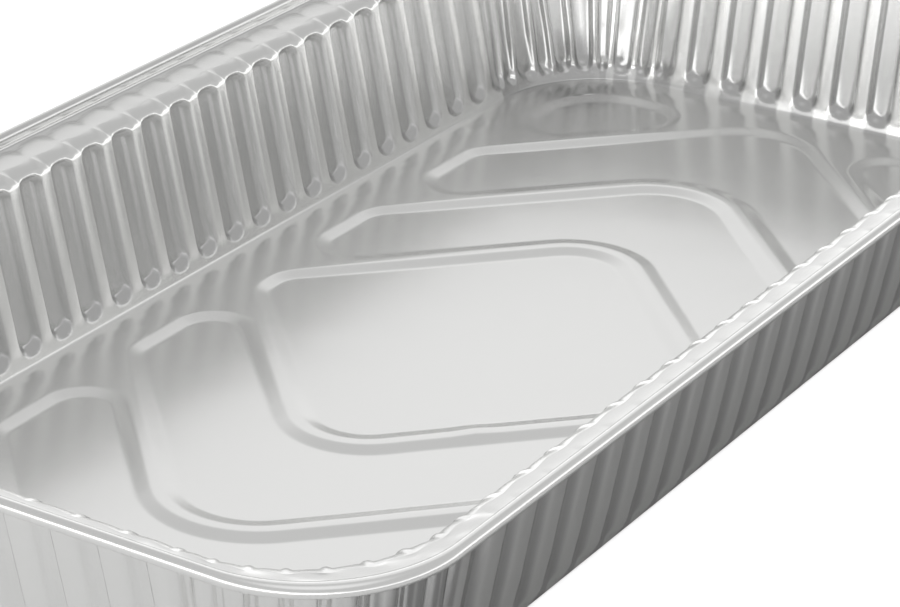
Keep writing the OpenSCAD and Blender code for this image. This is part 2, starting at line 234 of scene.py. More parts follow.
# How much further the shoulder reaches on a ridge, and its shares beside a ridge and on the ridge itself
RIDGE_REACH = 0.3
SHOULDER_ROWS = (0, 34.0, 35.1, 35.9, 36.3, 36.75, LEDGE_Z)
SHOULDER_SHARES = (0, 0, 0.12, 0.3, 0.46, 0.7, 1)
POINT_ROWS = (0, 34.7, 35.5, 35.9, 36.3, 36.75, LEDGE_Z)
POINT_SHARES = (0, 0, 0.06, 0.15, 0.3, 0.6, 1)
# A ridge's front narrows to a point between the last two of these heights, and its edge gets harder
SPEAR_ROWS = (0, 34.4, 36.85)
SPEAR_SHARES = (1, 1, 0)
SPEAR_EDGES = (1.0, 0.9, 0.6)
# Slight crown across a ridge's front: its height, how far it reaches beyond the front, shares by height
HALF_CREST = RIDGE_CREST / 2
CROWN, CROWN_BEYOND = 0.18, 0.3
CROWN_ROWS = (2, 5, 33, 36)
CROWN_SHARES = (0, 1, 1, 0)
# Smooth steps along the height of the wall, each as (start, run)
ABOVE_FOOT = (2.2, 3.6)
IN_ARCH = (33, 2)
DEEPER = (1.5, 10.5)
CRUMPLES_START, CRUMPLES_END = (0, 6), (LEDGE_Z + 1.5, -6)
# The next three steps place the painted shade: at the grooves' feet, on the shoulder and under the grooves
FEET_SHADE = (6, -2)
SHOULDER_SHADE = (35.4, 0.4)
UNDER_SHADE = (2.4, -0.5)
# Painted shade, which darkens the tint where a groove would lie in shadow: start and run of a groove's edge,
# the feet's extra, the shoulder's share and edge, and for the strip under the grooves its start beside a
# wall's ridge, which goes with the crest's width, and its run
GROOVE_SHADE = (-0.15, 0.6)
FEET_EXTRA, SHOULDER_SHARE, SHOULDER_EDGE = 0.3, 0.25, 0.5
UNDER_START, UNDER_RUN = 1.5, 0.8


def inside_groove(z, g, mouth):
    """How far inside a groove's form a point at the distance g from its middle lies: a long form of half
    width mouth with a round foot and an arched top."""
    foot_centre = GROOVE_LOW + FOOT_TALL * mouth
    arch_centre = GROOVE_HIGH - ARCH_TALL * mouth
    past = np.maximum(foot_centre - z, 0) / FOOT_TALL + np.maximum(z - arch_centre, 0) / ARCH_TALL
    power = np.where(z < MID_WALL, FOOT_POWER, ARCH_POWER)
    return mouth - (g ** power + past ** power) ** (1 / power)


def wall_surface(col):
    """Grid of (walk, out, z, shade, shade under the grooves) from the fold up to the ledge's inner edge.
    Out is the leaning wall plus its grooves, whose depth is a smooth step of the distance inside them.
    Towards the ledge the wall turns out in a shoulder. A ridge turns out later, and its front narrows to a
    point there. The two shades are painted shade: they darken the foil's tint in the grooves, at their feet,
    on the shoulder and in the strip under the grooves, where these would lie in shadow."""
    place, slip, a, g, crest, floor, depth, corner = [c[None, :] for c in col]
    z = WALL_ROWS[:, None] + 0 * place
    lean = np.interp(WALL_ROWS, SLIP_ROWS, SLIP_SHARES)[:, None]
    walk = place + np.where(WALL_ROWS[:, None] > 0, lean * slip, 0)
    half = a + g
    wall = FOOT_OUT + LEAN * (z - FOOT_HEIGHT)
    wall = wall - (FOOT_OUT / FOOT_HEIGHT - LEAN) * bend(FOOT_HEIGHT - z, FOOT_BEND)
    wall = wall + STEP_OUT * np.interp(z, STEP_ROWS, STEP_SHARES)
    reach = SHOULDER_OUT + RIDGE_REACH - SCALLOP * smooth(a / half)
    spear = np.interp(z, SPEAR_ROWS, SPEAR_SHARES) * crest
    shoulder = np.interp(z, SHOULDER_ROWS, SHOULDER_SHARES)
    point = np.interp(z, POINT_ROWS, POINT_SHARES)
    beside = smooth((a - spear) / np.interp(z, SPEAR_ROWS, SPEAR_EDGES))
    turned_out = (point + (shoulder - point) * beside) * reach
    inside = inside_groove(z, g, half - crest)
    run = SIDE_AT_FOOT - LESS_ABOVE * ramp(z, *ABOVE_FOOT) - LESS_IN_ARCH * ramp(z, *IN_ARCH)
    slope = (floor - crest) * run
    on_wall = (z > STEP_ROWS[3]) & (z < LEDGE_Z)
    sunk = smooth((inside + EDGE_SOFT) / (slope + 2 * EDGE_SOFT)) * on_wall
    crown = CROWN * crest / HALF_CREST * np.maximum(1 - (a / (crest + CROWN_BEYOND)) ** 2, 0)
    crown = crown * np.interp(z, CROWN_ROWS, CROWN_SHARES)
    deep = depth * (DEPTH_AT_FOOT + DEPTH_GAINED * ramp(z, *DEEPER))
    floor_out = np.interp(z, FLOOR_ROWS, FLOOR_SHARES) * (reach - deep) + deep
    out = wall + turned_out + np.maximum(floor_out - turned_out, 0) * sunk - crown
    rise = ramp(z, *CRUMPLES_START) * ramp(z, *CRUMPLES_END)
    crumple = PLEAT_FOLD_HEIGHT * folds(walk, z, *PLEAT_FOLDS) * corner
    crumple = crumple + WALL_WAVE_HEIGHT * waves(walk, z, *WALL_WAVES)
    # Painted shade: the grooves, more at their feet, and the shoulder beside a ridge's point are darkened in
    # the tint, and so is the strip under the grooves
    shade = ramp(inside, *GROOVE_SHADE) * (z < LEDGE_Z) * (1 + FEET_EXTRA * ramp(z, *FEET_SHADE))
    shade = np.maximum(shade, SHOULDER_SHARE * ramp(z, *SHOULDER_SHADE) * ramp(a, spear, SHOULDER_EDGE))
    under = ramp(a, UNDER_START * crest / HALF_CREST, UNDER_RUN) * ramp(z, *UNDER_SHADE)
    return walk, out + rise * crumple, z, shade, under


# Section of the rim as (distance out, height above the ledge): the ledge counted from its inner edge, the
# bend and the upstand with its fine bead counted from its outer edge, then the curl's turns in degrees
LEDGE_SECTION = ((0.25, 0), (0.9, 0.04), (2.2, 0.17), (3.5, 0.36), (4.5, 0.56), (5.1, 0.72))
UPSTAND_SECTION = ((-0.45, 0.86), (-0.15, 1.02), (-0.02, 1.25), (0, 1.5), (0.08, 1.7), (0.03, 1.95),
                   (0, 2.3))
CURL_TURNS = np.linspace(180, -140, 13)
# How much of the ledge follows its scalloped inner edge, and below what height above the ledge
FOLLOWS_EDGE, FOLLOWS_BELOW = 2.2, 0.5
# Creases that the flutes leave in the ledge: depth, least half width and what it gains outward
CREASE_DEPTH, CREASE_LEAST, CREASE_GAIN = 0.22, 0.4, 2.6
# Smooth steps across the ledge, each as (start, run) in shares of its width, and where the creases end
WIDENS, DEEPENS = (0.25, 0.75), (0.3, 0.6)
UNEVEN_START, UNEVEN_END = (0, 0.15), (1.02, -0.2)
CREASE_END = 0.97


def rim_profile():
    """Section of the rim from the ledge's inner edge to the hidden end of the curl, as (out, height)."""
    points = [(LEDGE_IN + out, LEDGE_Z + rise) for out, rise in LEDGE_SECTION]
    points += [(LEDGE_OUT + out, LEDGE_Z + rise) for out, rise in UPSTAND_SECTION]
    for turn in CURL_TURNS:
        angle = math.radians(turn)
        points.append((CURL_MID + CURL_RADIUS * math.cos(angle), CURL_Z + CURL_RADIUS * math.sin(angle)))
    return np.array(points)


def rim_surface(col, edge_out):
    """Grid of (walk, out, z) of the rim's rows beyond the ledge's inner edge, which lies at edge_out.
    Each flute leaves a shallow pointed crease in the ledge, deepest at the foot of the upstand."""
    place = col.place[None, :]
    profile = rim_profile()
    out = profile[:, :1] + 0 * place
    z = profile[:, 1:] + 0 * place
    near_edge = ramp(out, LEDGE_IN + FOLLOWS_EDGE, -FOLLOWS_EDGE) * (z < LEDGE_Z + FOLLOWS_BELOW)
    out = out + near_edge * (edge_out - LEDGE_IN)
    walk = place + col.slip[None, :] + 0 * out
    across = (out - LEDGE_IN) / LEDGE_WIDTH
    width = CREASE_LEAST + CREASE_GAIN * ramp(across, *WIDENS)
    crease = np.maximum(0, 1 - col.to_ridge[None, :] / width)
    crease = crease * ramp(across, *DEEPENS) * (across < CREASE_END)
    sag = LEDGE_WAVE_HEIGHT * waves(walk, out, *LEDGE_WAVES)
    sag = sag + col.corner[None, :] * CORNER_WAVE_HEIGHT * waves(walk, out, *CORNER_WAVES)
    fade = ramp(across, *UNEVEN_START) * ramp(across, *UNEVEN_END)
    return walk, out, z - CREASE_DEPTH * crease * fade + sag * fade


def normals(points):
    """Unit normals of a grid that goes right round: down the rows crossed with along the columns."""
    down = np.empty_like(points)
    down[1:-1] = points[2:] - points[:-2]
    down[0], down[-1] = points[1] - points[0], points[-1] - points[-2]
    along = np.roll(points, -1, axis=1) - np.roll(points, 1, axis=1)
    n = np.cross(down, along)
    return n / np.linalg.norm(n, axis=-1, keepdims=True)


def mesh_object(name, points, loops, sizes, sharp_pairs):
    """Object at the origin from points in metres and faces as a flat list of corners with their sizes.
    The edges between the sharp pairs of points are kept sharp."""
    mesh = bpy.data.meshes.new(name)
    mesh.vertices.add(len(points))
    mesh.vertices.foreach_set("co", np.asarray(points, np.float32).ravel())
    mesh.loops.add(len(loops))
    mesh.loops.foreach_set("vertex_index", np.asarray(loops, np.int32))
    starts = np.concatenate([[0], np.cumsum(sizes)[:-1]])
    mesh.polygons.add(len(sizes))
    mesh.polygons.foreach_set("loop_start", starts.astype(np.int32))
    mesh.polygons.foreach_set("use_smooth", np.ones(len(sizes), bool))
    mesh.update(calc_edges=True)
    edges = np.empty(len(mesh.edges) * 2, np.int32)
    mesh.edges.foreach_get("vertices", edges)
    keys = np.sort(edges.reshape(-1, 2), axis=1)
    keys = keys[:, 0].astype(np.int64) * len(points) + keys[:, 1]
    wanted = np.sort(sharp_pairs, axis=1)
    wanted = wanted[:, 0].astype(np.int64) * len(points) + wanted[:, 1]
    layer = mesh.attributes.new("sharp_edge", "BOOLEAN", "EDGE")
    layer.data.foreach_set("value", np.isin(keys, wanted))
    mesh.validate()
    obj = bpy.data.objects.new(name, mesh)
    bpy.context.scene.collection.objects.link(obj)
    return obj


def add_painted_shade(obj, values):
    """Writes the painted shade at each point of a piece, as the attribute that its material reads to darken
    the foil's tint.
    """
    painted_shade = obj.data.attributes.new("painted_shade", "FLOAT", "POINT")
    painted_shade.data.foreach_set("value", values.astype(np.float32))


def sheet_from_grid(name, near, far, near_painted_shade, far_painted_shade):
    """Closed sheet between a near and a far grid that go right round: both faces and two narrow edges."""
    rows, cols = near.shape[:2]
    r, c = np.meshgrid(np.arange(rows - 1), np.arange(cols), indexing="ij")
    c2 = (c + 1) % cols
    face = np.stack([r * cols + c, (r + 1) * cols + c, (r + 1) * cols + c2, r * cols + c2], axis=-1)
    face = face.reshape(-1, 4)
    shift = rows * cols
    back = face[:, ::-1] + shift
    first = np.arange(cols)
    second = (first + 1) % cols
    last = (rows - 1) * cols
    low = np.stack([first, second, second + shift, first + shift], axis=-1)
    high = np.stack([last + second, last + first, last + first + shift, last + second + shift], axis=-1)
    quads = np.concatenate([face, back, low, high])
    starts = (0, last, shift, last + shift)
    rims = np.concatenate([np.stack([first + o, second + o], axis=-1) for o in starts])
    points = np.concatenate([near.reshape(-1, 3), far.reshape(-1, 3)]) * MM
    obj = mesh_object(name, points, quads.ravel(), np.full(len(quads), 4), rims)
    add_painted_shade(obj, np.concatenate([near_painted_shade.ravel(), far_painted_shade.ravel()]))
    return obj


# Base: outlines of the panels
FIELD_LENGTH = HALF_LENGTH - BORDER - SLOPE_RUN
FIELD_WIDTH = HALF_WIDTH - BORDER - SLOPE_RUN
FIELD_RADIUS = CORNER_RADIUS - BORDER - SLOPE_RUN
RIB_HALF = RIB_TOP / 2 + SLOPE_RUN
RIB_DIAGONAL = RIB_HALF * math.sqrt(2)
FIRST_TIP, LAST_TIP = FIELD_WIDTH + DIAMOND_REACH, FIELD_LENGTH + END_REACH
RIB_STEPS = max(1, round((LAST_TIP - FIRST_TIP) / RIB_PITCH))
TIPS = [FIRST_TIP + (LAST_TIP - FIRST_TIP) * k / RIB_STEPS for k in range(RIB_STEPS + 1)]
TIP_RADII = [DIAMOND_RADIUS] + [CHEVRON_RADIUS] * RIB_STEPS
# Greatest half width of the middle panel as a share of its tip's distance, and greatest radii of a corner
# panel's acute and square corners as shares of its leg
DIAMOND_SHARE = 0.935
ACUTE_SHARE, SQUARE_SHARE = 0.18, 0.4
# Steps of an outline's points: millimetres on the straights, degrees on the arcs
STRAIGHT_STEP = 2.4
ARC_STEP = 7.0


def rounded(corners, radii, grow):
    """Closed outline through corners, each rounded by its own radius, then moved out by grow.
    The rounded corner's centre lies inside the corner by the radius times the tangent of half the turn.
    The straights between are cut into steps that stay in line from one outline to the next."""
    corners = np.array(corners, float)
    n = len(corners)
    arcs = []
    for i in range(n):
        p, before, after = corners[i], corners[i - 1], corners[(i + 1) % n]
        along = (p - before) / np.linalg.norm(p - before)
        onward = (after - p) / np.linalg.norm(after - p)
        turn = math.atan2(along[0] * onward[1] - along[1] * onward[0], along @ onward)
        way, r = math.copysign(1, turn), radii[i]
        middle = p - along * r * math.tan(abs(turn) / 2) - way * r * np.array([along[1], -along[0]])
        steps = max(2, math.ceil(abs(math.degrees(turn)) / ARC_STEP))
        angle = turn * np.arange(steps + 1) / steps
        cos, sin = np.cos(angle), np.sin(angle)
        turned = np.stack([along[0] * cos - along[1] * sin, along[0] * sin + along[1] * cos], 1)
        arcs.append(middle + way * (r + way * grow) * np.stack([turned[:, 1], -turned[:, 0]], 1))
    points = []
    for i in range(n):
        points.append(arcs[i])
        a, b = arcs[i][-1], arcs[(i + 1) % n][0]
        steps = int(np.linalg.norm(b - a) / STRAIGHT_STEP)
        if steps > 1:
            points.append(a + (b - a) * (np.arange(1, steps) / steps)[:, None])
    return np.concatenate(points)


def panel_outlines():
    """Corners and radii of every panel: the middle one, the chevrons and the corner panels."""
    w = FIELD_WIDTH
    tip = TIPS[0] - RIB_DIAGONAL
    half = min(w, DIAMOND_SHARE * tip)
    flat = tip - half
    r = DIAMOND_RADIUS - RIB_HALF
    shapes = [([(tip, 0), (flat, half), (-flat, half), (-tip, 0), (-flat, -half), (flat, -half)],
               [r, PANEL_RADIUS, PANEL_RADIUS, r, PANEL_RADIUS, PANEL_RADIUS])]
    for k in range(RIB_STEPS):
        inner, outer = TIPS[k] + RIB_DIAGONAL, TIPS[k + 1] - RIB_DIAGONAL
        corners = [(outer, 0), (outer - w, w), (inner - w, w)]
        corners += [(inner, 0), (inner - w, -w), (outer - w, -w)]
        radii = [TIP_RADII[k + 1] - RIB_HALF, PANEL_RADIUS, PANEL_RADIUS]
        radii += [TIP_RADII[k] + RIB_HALF, PANEL_RADIUS, PANEL_RADIUS]
        shapes += [(corners, radii), ([(-x, -y) for x, y in corners], radii)]
    inner = TIPS[-1] + RIB_DIAGONAL
    leg = FIELD_LENGTH + w - inner
    acute, square = min(PANEL_RADIUS, ACUTE_SHARE * leg), min(FIELD_RADIUS, SQUARE_SHARE * leg)
    corners = [(FIELD_LENGTH, inner - FIELD_LENGTH), (FIELD_LENGTH, w), (inner - w, w)]
    for sx, sy in ((1, 1), (-1, 1), (-1, -1), (1, -1)):
        turned = [(x * sx, y * sy) for x, y in corners]
        shapes.append((turned if sx * sy > 0 else turned[::-1], [acute, square, acute]))
    return shapes


# Offsets of the rings that follow each panel's outline, from its floor up its slope to the rib
RING_OFFSETS = [-1.6, -0.7, -0.25, 0.15, 0.6, 1.2, 2.0, 2.6, 3.0, 3.3, 3.7]
SLOPE_BEND = 0.45
# Rings inside the fold as (distance out, spacing of their points in ring steps)
RING_STEP = 0.55
FOLD_RINGS = ((-0.8, 2), (-2.0, 3), (-3.5, 3), (-5.2, 3.5), (-7.0, 4.5))
# Even filling between the rings: its spacing, how far its points are shifted and how fast the shift changes
FILL_STEP, FILL_SHIFT, FILL_TURN = 3.1, 0.6, 1.7
# It stays this far inside the fold, outside a panel's last ring and inside the panel's outline
CLEAR_OF_FOLD, CLEAR_OF_RING, CLEAR_OF_OUTLINE = 8.6, 0.9, 2.6
# Greatest inward offsets of a ring and of the filling, as shares of the outline's smallest radius
RING_SHARE, FILL_SHARE = 0.8, 0.9


def slope_height(offset):
    """Height above a panel's floor at an offset beyond its outline: a straight slope bent at both ends."""
    x = np.asarray(offset, float)
    return PANEL_DEPTH * (bend(x, SLOPE_BEND) - bend(x - SLOPE_RUN, SLOPE_BEND)) / SLOPE_RUN


def inside_polygon(points, polygon):
    """Which points lie inside a closed outline, by the number of edges that a ray to the right crosses."""
    x, y = points[:, :1], points[:, 1:]
    a, b = polygon, np.roll(polygon, -1, axis=0)
    crosses = (a[:, 1] > y) != (b[:, 1] > y)
    rise = np.where(b[:, 1] == a[:, 1], 1, b[:, 1] - a[:, 1])
    at = a[:, 0] + (y - a[:, 1]) * (b[:, 0] - a[:, 0]) / rise
    return (crosses & (x < at)).sum(axis=1) % 2 == 1


def from_corner(x, y):
    """How far a point of the base lies beyond the centre of a corner's arc, along X and along Y and never
    less than 0, and how far inside the arc."""
    bent_x = np.maximum(np.abs(x) - (HALF_LENGTH - CORNER_RADIUS), 0)
    bent_y = np.maximum(np.abs(y) - (HALF_WIDTH - CORNER_RADIUS), 0)
    return bent_x, bent_y, CORNER_RADIUS - np.hypot(bent_x, bent_y)


def inside_fold(x, y):
    """How far a point of the base lies inside the fold."""
    straight = np.minimum(HALF_LENGTH - np.abs(x), HALF_WIDTH - np.abs(y))
    return np.minimum(straight, from_corner(x, y)[2])


def base_points():
    """Plan points of the base with their heights: rings along every panel, rings inside the fold, and an
    even filling of the panels' floors and of the border between them."""
    rings, fills = [], []
    across = np.arange(-HALF_LENGTH, HALF_LENGTH, FILL_STEP)
    upward = np.arange(-HALF_WIDTH, HALF_WIDTH, FILL_STEP)
    everywhere = np.stack(np.meshgrid(across, upward, indexing="ij"), -1).reshape(-1, 2)
    everywhere = everywhere + FILL_SHIFT * np.sin(everywhere[:, ::-1] * FILL_TURN)
    taken = np.zeros(len(everywhere), bool)
    for corners, radii in panel_outlines():
        smallest = min(r for r in radii if r > 0)
        for offset in RING_OFFSETS:
            if offset < 0 and -offset > RING_SHARE * smallest:
                continue
            ring = rounded(corners, radii, offset)
            rings.append((ring, float(slope_height(offset)) - PANEL_DEPTH))
        wide = inside_polygon(everywhere, rounded(corners, radii, RING_OFFSETS[-1] + CLEAR_OF_RING))
        inward = min(CLEAR_OF_OUTLINE, FILL_SHARE * smallest)
        floor = inside_polygon(everywhere, rounded(corners, radii, -inward))
        fills.append((everywhere[floor], -PANEL_DEPTH))
        taken |= wide
    clear = inside_fold(everywhere[:, 0], everywhere[:, 1]) > CLEAR_OF_FOLD
    fills.append((everywhere[clear & ~taken], 0.0))
    for out, steps in FOLD_RINGS:
        walk = np.arange(0, ROUND, steps * RING_STEP)
        rings.append((np.stack(around(walk, np.full_like(walk, out)), 1), 0.0))
    return rings, fills


# Painted shade in a band of the border along each corner's foot: smooth steps along it and inward from the
# fold
BAND_ALONG, BAND_INWARD = (0, 9), (22, -12)
# Relief of the base: lifts that keep the waves above the pressed sheet, smooth steps inward from the fold
SLOW_LIFT, RIPPLE_LIFT = 2.2, 1.5
SLOW_START, RIPPLE_START, RIPPLE_END = (0, 9), (0, 2), (5, 6)
# Kink in the rib beside the middle panel: its height, its place and its squared reach
KINK_HEIGHT, KINK_X, KINK_Y, KINK_SPREAD = 0.25, -34, -22, 9


def corner_shade_band(x, y):
    """How far a point of the base lies in the band of painted shade in the border that follows each corner's
    foot.
    """
    bent_x, bent_y, inward = from_corner(x, y)
    return ramp(np.minimum(bent_x, bent_y), *BAND_ALONG) * ramp(inward, *BAND_INWARD)


def base_relief(x, y):
    """Unevenness of the base's sheet: slow waves that fade out at the fold, ripples in the border's outer
    part, and the small kink in the rib beside the middle panel."""
    inward = inside_fold(x, y)
    slow = SLOW_WAVE_HEIGHT * (waves(x, y, *SLOW_WAVES) + SLOW_LIFT)
    slow = slow + FINE_WAVE_HEIGHT * waves(x, y, *FINE_WAVES)
    ripple = BORDER_WAVE_HEIGHT * (waves(x, y, *BORDER_WAVES) + RIPPLE_LIFT)
    ripple = ripple * ramp(inward, *RIPPLE_START) * (1 - ramp(inward, *RIPPLE_END))
    kink = KINK_HEIGHT * np.exp(-((x - KINK_X) ** 2 + (y - KINK_Y) ** 2) / KINK_SPREAD)
    return ramp(inward, *SLOW_START) * np.maximum(slow, 0) + np.maximum(ripple, 0) + kink


# The two settings of the triangulation: fill what the edges enclose, and join points closer than this
INSIDE_EDGES, JOIN_WITHIN = 1, 1e-5


def build_base(near_fold, far_fold):
    """Base sheet inside the fold: the plan points are joined into triangles that follow every ring, lifted
    to their heights, and closed with the same sheet a foil's thickness below and a narrow edge."""
    rings, fills = base_points()
    plan = [near_fold[:, :2]]
    height = [np.zeros(len(near_fold))]
    edges = [np.stack([np.arange(len(near_fold)), np.roll(np.arange(len(near_fold)), -1)], 1)]
    start = len(near_fold)
    for ring, z in rings:
        plan.append(ring)
        height.append(np.full(len(ring), z))
        n = np.arange(len(ring))
        edges.append(np.stack([n, np.roll(n, -1)], 1) + start)
        start += len(ring)
    for points, z in fills:
        plan.append(points)
        height.append(np.full(len(points), z))
    plan, height, edges = np.concatenate(plan), np.concatenate(height), np.concatenate(edges)
    made = delaunay_2d_cdt([Vector(p) for p in plan], edges.tolist(), [], INSIDE_EDGES, JOIN_WITHIN)
    out_points = np.array([tuple(p) for p in made[0]])
    triangles = np.array([list(t) for t in made[2]])
    origin = np.array([ids[0] if ids else -1 for ids in made[3]])
    z = np.where(origin >= 0, height[np.maximum(origin, 0)], 0.0)
    z = z + base_relief(out_points[:, 0], out_points[:, 1])
    points = np.column_stack([out_points, z])
    edge1 = points[triangles[:, 1]] - points[triangles[:, 0]]
    edge2 = points[triangles[:, 2]] - points[triangles[:, 0]]
    cross = np.cross(edge1, edge2)
    flip = cross[:, 2] < 0
    triangles[flip] = triangles[flip][:, ::-1]
    cross[flip] *= -1
    normal = np.zeros_like(points)
    for k in range(3):
        np.add.at(normal, triangles[:, k], cross)
    normal /= np.linalg.norm(normal, axis=1, keepdims=True)
    far = points - FOIL * normal
    place = {int(o): i for i, o in enumerate(origin) if 0 <= o < len(near_fold)}
    ring = np.array([place[i] for i in range(len(near_fold))])
    points[ring] = near_fold
    far[ring] = far_fold
    shift = len(points)
    after = np.roll(ring, -1)
    side = np.stack([after, ring, ring + shift, after + shift], 1)
    loops = np.concatenate([triangles.ravel(), (triangles[:, ::-1] + shift).ravel(), side.ravel()])
    sizes = np.concatenate([np.full(2 * len(triangles), 3), np.full(len(side), 4)])
    sharp = np.concatenate([np.stack([ring, after], 1), np.stack([ring, after], 1) + shift])
    both = np.concatenate([points, far])
    both[:, 2] += BED
    base = mesh_object("pan_base", both * MM, loops, sizes, sharp)
    # Painted shade: the border along each corner's foot is darkened in the tint
    add_painted_shade(base, corner_shade_band(both[:, 0], both[:, 1]))
    return base


def fill(slot, value):
    """Links a wire to a node's socket, or writes a plain value into the socket."""
    if isinstance(value, Wire):
        value.tree.links.new(value.socket, slot)
    else:
        slot.default_value = value


class Wire:
    """Value socket that writes its sums as Math nodes."""

    def __init__(self, tree, socket):
        self.tree, self.socket = tree, socket

    def _math(self, operation, a, b):
        node = self.tree.nodes.new("ShaderNodeMath")
        node.operation = operation
        fill(node.inputs[0], a)
        fill(node.inputs[1], b)
        return Wire(self.tree, node.outputs[0])

    def __add__(self, other):
        return self._math("ADD", self, other)

    __radd__ = __add__

    def __mul__(self, other):
        return self._math("MULTIPLY", self, other)

    __rmul__ = __mul__

    def __sub__(self, other):
        return self._math("SUBTRACT", self, other)

    def __rsub__(self, other):
        return self._math("SUBTRACT", other, self)


class Bench:
    """Node tree with a call that adds any node."""

    def __init__(self, tree):
        self.tree = tree

    def add(self, kind, settings=None, output=0, numbered=None, **named):
        """Adds a node with its settings and returns one of its outputs. The sockets' values or wires are
        given by number, or by name with an underscore for each space."""
        node = self.tree.nodes.new("ShaderNode" + kind)
        for key, value in (settings or {}).items():
            setattr(node, key, value)
        for key, value in (numbered or {}).items():
            fill(node.inputs[key], value)
        for key, value in named.items():
            fill(node.inputs[key.replace("_", " ")], value)
        return Wire(self.tree, node.outputs[output])

    def between(self, value, start, end, low=0.0, high=1.0):
        """Smooth step of a wire's value from low at start to high at end."""
        return self.add("MapRange", {"interpolation_type": "SMOOTHSTEP"}, Value=value, From_Min=start,
                        From_Max=end, To_Min=low, To_Max=high)


def new_material(name):
    """Material with an empty node tree, its bench and its surface socket."""
    material = bpy.data.materials.new(name)
    material.use_nodes = True
    material.node_tree.nodes.clear()
    out = material.node_tree.nodes.new("ShaderNodeOutputMaterial")
    return material, Bench(material.node_tree), out.inputs["Surface"]


# Foil: scale of its grain along the pan and across it, shares of the roughness, shares of the bright tint (a
# base, random clouds, and the share where no painted shade lies), tints of painted shade and of unshaded foil
GRAIN_SCALE = (220.0, 2600.0, 2600.0)
ROUGH, ROUGH_CLOUD, ROUGH_GRAIN = 0.2, 0.05, 0.03
BRIGHT_BASE, BRIGHT_CLOUD, UNSHADED_SHARE = 0.13, 0.1, 0.8
SHADED_TINT, BRIGHT_TINT = (0.62, 0.62, 0.615, 1), (0.93, 0.93, 0.92, 1)
# Floor: its tone in the foil's reflections, and its tone and glow as the camera sees it
FLOOR_TONE, SEEN_TONE, SEEN_GLOW = 0.44, 0.95, 0.72


def foil_material():
    """Rolled aluminium foil: bright metal with a fine grain along its length, faint clouds in the gloss,
    and a darker tint, which is painted shade, where the pieces' shade attribute says so."""
    material, bench, surface = new_material("rolled_foil")
    place = bench.add("TexCoord", output=3)
    grain_place = bench.add("Mapping", Vector=place, Scale=GRAIN_SCALE)
    grain = bench.add("TexNoise", Vector=grain_place, Scale=1.0, Detail=3.0, Roughness=0.55)
    cloud = bench.add("TexNoise", Vector=place, Scale=38.0, Detail=2.0, Roughness=0.5)
    rough = ROUGH + ROUGH_CLOUD * cloud + ROUGH_GRAIN * grain
    bump = bench.add("Bump", Strength=0.03, Distance=0.0002, Height=grain)
    # Painted shade: the attribute pulls the tint towards the shaded tint in grooves, channels, corners and on
    # the rim
    painted_shade = bench.add("Attribute", {"attribute_name": "painted_shade"}, output=2)
    bright_share = BRIGHT_BASE + BRIGHT_CLOUD * cloud + UNSHADED_SHARE * (1 - painted_shade)
    tints = {0: bright_share, 6: SHADED_TINT, 7: BRIGHT_TINT}
    tint = bench.add("Mix", {"data_type": "RGBA"}, output=2, numbered=tints)
    foil = bench.add("BsdfPrincipled", Base_Color=tint, Metallic=1.0, Roughness=rough, Normal=bump)
    fill(surface, foil)
    return material


def floor_material():
    """Matt floor: near white as the camera sees it, mid grey for the light that it sends on to the foil."""
    material, bench, surface = new_material("pale_floor")
    plain = bench.add("BsdfDiffuse", Color=(FLOOR_TONE, FLOOR_TONE, FLOOR_TONE, 1))
    pale = bench.add("BsdfDiffuse", Color=(SEEN_TONE, SEEN_TONE, SEEN_TONE, 1))
    glow = bench.add("Emission", Color=(1, 1, 1, 1), Strength=SEEN_GLOW)
    seen = bench.add("AddShader", numbered={0: pale, 1: glow})
    camera_ray = bench.add("LightPath")
    fill(surface, bench.add("MixShader", numbered={0: camera_ray, 1: plain, 2: seen}))
    return material


def finish_piece(obj, material):
    """Gives a piece its material, ties it to the root body and hides the imported pan part."""
    obj.data.materials.append(material)
    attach(obj, "root")
    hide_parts("pan")


def to_points(walk, out, z):
    """Grid of points in millimetres from places round the fold, distances out and heights."""
    x, y = around(walk, out)
    return np.stack([x, y, z + BED], axis=-1)


# Smooth steps in how far a wall faces sideways: into a long wall, and into the half of a corner that gets
# painted shade
LONG_WALL, SHADED_CORNER = (0.6, 0.4), (0.35, 0.3)
# Painted shade in the channel behind each ridge on the outer face: its half width as a step, its share and
# what long walls gain, its top
CHANNEL_EDGE, CHANNEL_TOP = (2.35, -0.5), (LEDGE_Z, -3)
CHANNEL_SHARE, CHANNEL_GAIN = 0.1, 1.2
# Painted shade of the strip under the end walls' grooves, of the corners, and what these gain towards their
# feet
UNDER_SHARE = 1.2
CORNER_SHADE, CORNER_FOOT_SHADE, CORNER_FOOT = 0.75, 0.55, (4, 13)
# Painted shade of the rim's rows from the ledge's inner edge on: ledge, bend and upstand, bead, curl's start
UPSTAND_ROWS, BEAD_ROW, CURL_ROW = slice(8, 16), 11, 16
LEDGE_SHADE, UPSTAND_SHADE, BEAD_SHADE, CURL_SHADE = 0.25, 0.85, 0.4, 0.5


def facing_sideways(place):
    """How far the wall at each place faces along Y: 1 on the long walls, 0 on the end walls."""
    one = np.ones_like(place)
    outer_x, outer_y = around(place, one)
    inner_x, inner_y = around(place, -one)
    return np.abs(outer_y - inner_y) / np.hypot(outer_x - inner_x, outer_y - inner_y)


